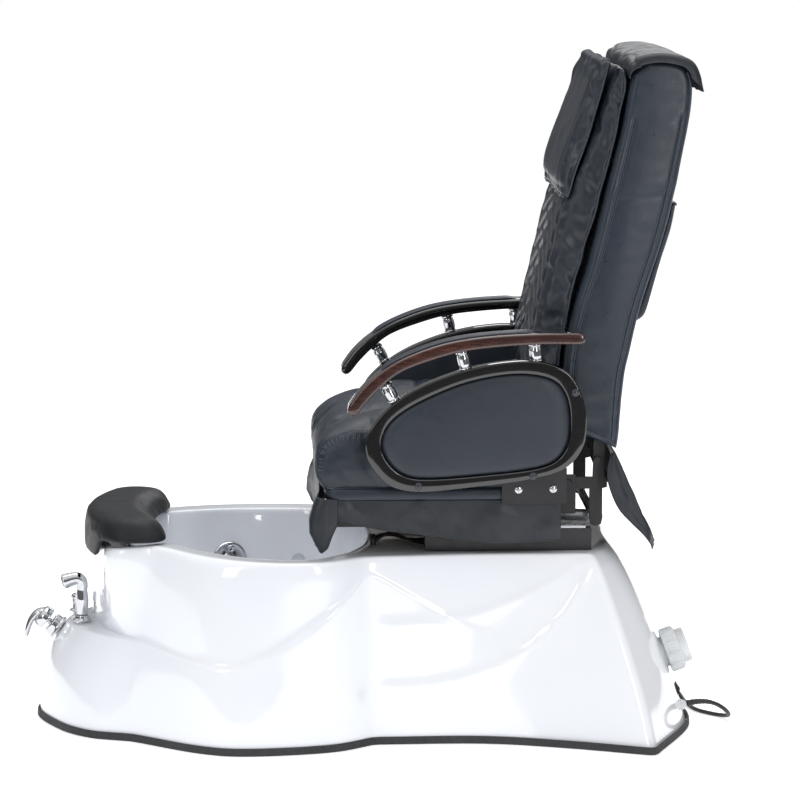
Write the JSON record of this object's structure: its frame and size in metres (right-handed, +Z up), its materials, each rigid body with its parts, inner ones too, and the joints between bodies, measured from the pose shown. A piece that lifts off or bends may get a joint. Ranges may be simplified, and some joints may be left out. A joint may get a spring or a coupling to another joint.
{
  "type": "pedicure spa chair",
  "caption": "Pedicure spa chair: a gloss foot tub base carries a sliding padded seat with arched arm rests and a tall reclining back over a built-in massage carriage.",
  "frame": {"origin": "on the floor, at the middle of the chair's footprint box", "axes": "+Z up; -X is the way the sitter faces, towards the foot tub; +Y is the sitter's right hand side"},
  "size_m": [1.3873, 0.9299, 1.3261],
  "materials": {
    "acrylic": "gloss",
    "edge_rubber": "matte",
    "black_steel": "satin",
    "black_plastic": "satin",
    "housing_grey": "matte",
    "chrome": "polished",
    "pump_grey": "matte",
    "pvc": "satin",
    "cord_black": "satin",
    "cable_black": "satin",
    "steel": "satin",
    "foam_skin": "satin",
    "plywood": "matte",
    "leatherette": "satin",
    "flap_cloth": "matte",
    "lacquer_black": "gloss",
    "panel_leatherette": "satin",
    "mahogany": "gloss",
    "back_leatherette": "satin",
    "roller_brown": "satin"
  },
  "bodies": {
    "base": {"base_shell": "acrylic", "foot_basin": "acrylic", "edge_trim": "edge_rubber", "base_frame": "black_steel", "levelling_feet": "black_plastic", "jet_housing": "housing_grey", "jet_cover": "chrome", "basin_light": "chrome", "drain_strainer": "chrome", "drain_pump": "pump_grey", "drain_pipe": "pvc", "union_nut": "pvc", "drain_outlet": "pvc", "control_box": "black_plastic", "switch_bezel": "black_plastic", "cord_gland": "pvc", "mains_cord": "cord_black", "mains_cord_coil": "cord_black", "mains_plug": "black_plastic", "mixer_base": "chrome", "sprayer_holder": "chrome", "diverter_base": "chrome", "slide_base": "black_steel", "seat_cable": "cable_black"},
    "jet_impeller": {"jet_impeller": "black_plastic"},
    "power_switch": {"rocker_switch": "black_plastic"},
    "mixer_stem": {"mixer_cartridge": "steel"},
    "mixer_lever": {"mixer_handle": "chrome"},
    "diverter": {"diverter_knob": "chrome"},
    "hand_sprayer": {"sprayer": "chrome"},
    "footrest": {"footrest_pad": "foam_skin", "footrest_bracket": "black_steel"},
    "seat": {"seat_rails": "steel", "seat_frame": "black_steel", "seat_board": "plywood", "seat_cushion": "leatherette", "seat_skirt": "flap_cloth", "front_flap": "flap_cloth", "arm_brackets": "black_steel", "arm_screws": "chrome", "arm_frame_left": "lacquer_black", "arm_frame_right": "lacquer_black", "arm_panel_left": "panel_leatherette", "arm_panel_right": "panel_leatherette", "arm_rest_left": "mahogany", "arm_rest_right": "mahogany", "arm_posts": "chrome", "frame_studs": "black_plastic"},
    "back": {"back_frame": "black_steel", "back_case": "back_leatherette", "back_pad": "leatherette", "head_pad": "leatherette", "top_cap": "flap_cloth", "massage_rails": "steel"},
    "back_skirt": {"rear_flap": "flap_cloth"},
    "strut_inner": {"strut_rod": "steel"},
    "strut_outer": {"strut_cylinder": "steel"},
    "carriage": {"massage_carriage": "black_plastic"},
    "screw": {"lead_screw": "steel"},
    "rollers": {"massage_rollers": "roller_brown"}
  },
  "joints": [
    {"name": "seat_slide", "type": "slide", "parent": "base", "child": "seat", "axis": [1, 0, 0], "range_m": [-0.04, 0.08]},
    {"name": "back_recline", "type": "hinge", "parent": "seat", "child": "back", "pos_m": [0.39, 0, 0.488], "axis": [0, 1, 0], "range_deg": [0, 35]},
    {"name": "back_skirt_swing", "type": "hinge", "parent": "back", "child": "back_skirt", "pos_m": [0.474, 0, 0.56], "axis": [0, 1, 0], "range_deg": [-36, 1]},
    {"name": "strut_swing", "type": "hinge", "parent": "seat", "child": "strut_inner", "pos_m": [0.19, -0.149, 0.43], "axis": [0, 1, 0], "range_deg": [-1, 7]},
    {"name": "strut_slide", "type": "slide", "parent": "strut_inner", "child": "strut_outer", "axis": [0.9989, 0, -0.0472], "range_m": [-0.05, 0.002]},
    {"name": "mixer_turn", "type": "hinge", "parent": "base", "child": "mixer_stem", "pos_m": [-0.61554, 0, 0.18459], "axis": [-0.7771, 0, 0.6293], "range_deg": [-45, 45]},
    {"name": "mixer_lift", "type": "hinge", "parent": "mixer_stem", "child": "mixer_lever", "pos_m": [-0.62798, 0, 0.19466], "axis": [0, 1, 0], "range_deg": [0, 18]},
    {"name": "diverter_turn", "type": "hinge", "parent": "base", "child": "diverter", "pos_m": [-0.566, 0.048, 0.21], "axis": [0, 0, 1], "range_deg": [-60, 60]},
    {"name": "sprayer_lift", "type": "slide", "parent": "base", "child": "hand_sprayer", "axis": [0, 0, 1], "range_m": [0, 0.055]},
    {"name": "footrest_lift", "type": "slide", "parent": "base", "child": "footrest", "axis": [0, 0, 1], "range_m": [0, 0.08]},
    {"name": "jet_spin", "type": "hinge", "parent": "base", "child": "jet_impeller", "pos_m": [-0.267, 0.246, 0.262], "axis": [-0.3529, 0.9194, -0.1736], "continuous": true},
    {"name": "switch_rock", "type": "hinge", "parent": "base", "child": "power_switch", "pos_m": [0.61577, -0.108, 0.0658], "axis": [0, 1, 0], "range_deg": [-8, 8]},
    {"name": "massage_travel", "type": "slide", "parent": "back", "child": "carriage", "axis": [0.2079, 0, 0.9781], "range_m": [0, 0.3]},
    {"name": "screw_spin", "type": "hinge", "parent": "back", "child": "screw", "pos_m": [0.43, 0, 0.66], "axis": [0.2079, 0, 0.9781], "continuous": true},
    {"name": "roller_rock", "type": "hinge", "parent": "carriage", "child": "rollers", "pos_m": [0.43147, 0, 0.78236], "axis": [0, 1, 0], "range_deg": [-6, 6]}
  ],
  "couplings": [
    {"joint": "back_skirt_swing", "follows": "back_recline", "ratio": -1},
    {"joint": "strut_swing", "follows": "back_recline", "ratio": 0.16411},
    {"joint": "strut_slide", "follows": "back_recline", "m_per_rad": -0.078512},
    {"joint": "screw_spin", "follows": "massage_travel", "rad_per_m": 628.32}
  ]
}
